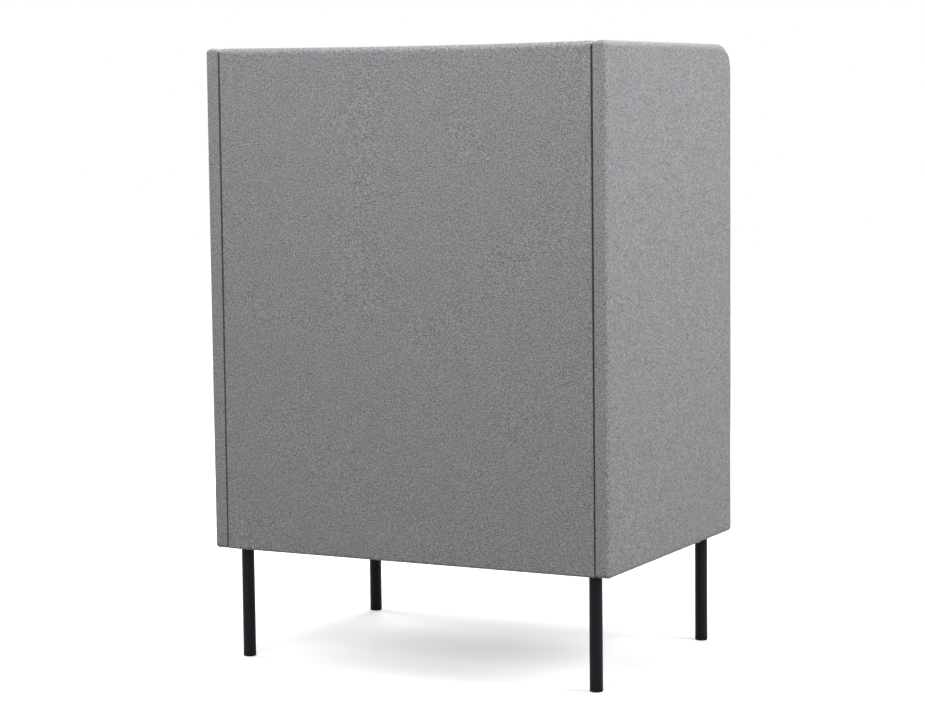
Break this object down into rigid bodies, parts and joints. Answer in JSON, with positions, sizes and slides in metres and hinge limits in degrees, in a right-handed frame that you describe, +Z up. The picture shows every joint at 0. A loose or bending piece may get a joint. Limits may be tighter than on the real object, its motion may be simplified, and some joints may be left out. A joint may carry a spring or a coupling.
{
  "type": "acoustic high back lounge chair",
  "caption": "Lounge chair with high upholstered acoustic side and back panels round a padded seat with arms, on slim round steel legs with levelling glides.",
  "frame": {"origin": "on the floor, under the middle of the chair's width and depth", "axes": "+Z up, the sitter faces -Y, so +X is the sitter's left"},
  "size_m": [0.87, 0.61, 1.22],
  "materials": {
    "panel_fabric": "grey melange wool felt, matt, light and dark fibres mixed",
    "seat_fabric": "the same grey melange wool felt on softer padding",
    "foam": "cream polyurethane foam, open cell",
    "acoustic_felt": "pale grey polyester acoustic felt",
    "plywood": "birch plywood, sawn edges, uncoated",
    "zinc_steel": "bright zinc plated steel",
    "black_steel": "black powder coat, fine texture, satin",
    "black_nylon": "moulded black nylon, matt",
    "dust_cloth": "black non-woven polypropylene"
  },
  "bodies": {
    "body": {"left_panel_cover": "panel_fabric", "right_panel_cover": "panel_fabric", "back_panel_cover": "panel_fabric", "front_base_cover": "panel_fabric", "left_arm_cover": "seat_fabric", "right_arm_cover": "seat_fabric", "back_cushion_cover": "seat_fabric", "seat_cushion_cover": "seat_fabric", "left_panel_foam": "foam", "right_panel_foam": "foam", "back_panel_foam": "foam", "front_base_foam": "foam", "left_arm_foam": "foam", "right_arm_foam": "foam", "back_cushion_foam": "foam", "seat_cushion_foam": "foam", "left_acoustic_infill": "acoustic_felt", "right_acoustic_infill": "acoustic_felt", "back_acoustic_infill": "acoustic_felt", "left_panel_frame": "plywood", "right_panel_frame": "plywood", "back_panel_frame": "plywood", "front_rail": "plywood", "rear_rail": "plywood", "left_rail": "plywood", "right_rail": "plywood", "centre_rail": "plywood", "corner_blocks": "plywood", "seat_deck": "plywood", "left_arm_frame": "plywood", "right_arm_frame": "plywood", "back_support_board": "plywood", "connector_plates": "zinc_steel", "connector_plate_screws": "zinc_steel", "connector_studs": "zinc_steel", "panel_bolts": "zinc_steel", "panel_bolt_washers": "zinc_steel", "panel_t_nuts": "zinc_steel", "rail_screws": "zinc_steel", "deck_screws": "zinc_steel", "arm_screws": "zinc_steel", "leg_screws": "zinc_steel", "leg_t_nuts": "zinc_steel", "leg_insert_nuts": "zinc_steel", "front_left_leg": "black_steel", "front_right_leg": "black_steel", "rear_left_leg": "black_steel", "rear_right_leg": "black_steel", "leg_inserts": "black_nylon", "dust_cover": "dust_cloth", "back_cushion_tapes": "dust_cloth"},
    "front_left_glide": {"front_left_glide_foot": "black_nylon", "front_left_glide_stud": "zinc_steel"},
    "front_right_glide": {"front_right_glide_foot": "black_nylon", "front_right_glide_stud": "zinc_steel"},
    "rear_left_glide": {"rear_left_glide_foot": "black_nylon", "rear_left_glide_stud": "zinc_steel"},
    "rear_right_glide": {"rear_right_glide_foot": "black_nylon", "rear_right_glide_stud": "zinc_steel"}
  },
  "joints": [
    {"name": "front_left_glide_screw", "type": "slide", "parent": "body", "child": "front_left_glide", "axis": [0, 0, -1], "range_m": [0, 0.01]},
    {"name": "front_right_glide_screw", "type": "slide", "parent": "body", "child": "front_right_glide", "axis": [0, 0, -1], "range_m": [0, 0.01]},
    {"name": "rear_left_glide_screw", "type": "slide", "parent": "body", "child": "rear_left_glide", "axis": [0, 0, -1], "range_m": [0, 0.01]},
    {"name": "rear_right_glide_screw", "type": "slide", "parent": "body", "child": "rear_right_glide", "axis": [0, 0, -1], "range_m": [0, 0.01]}
  ]
}
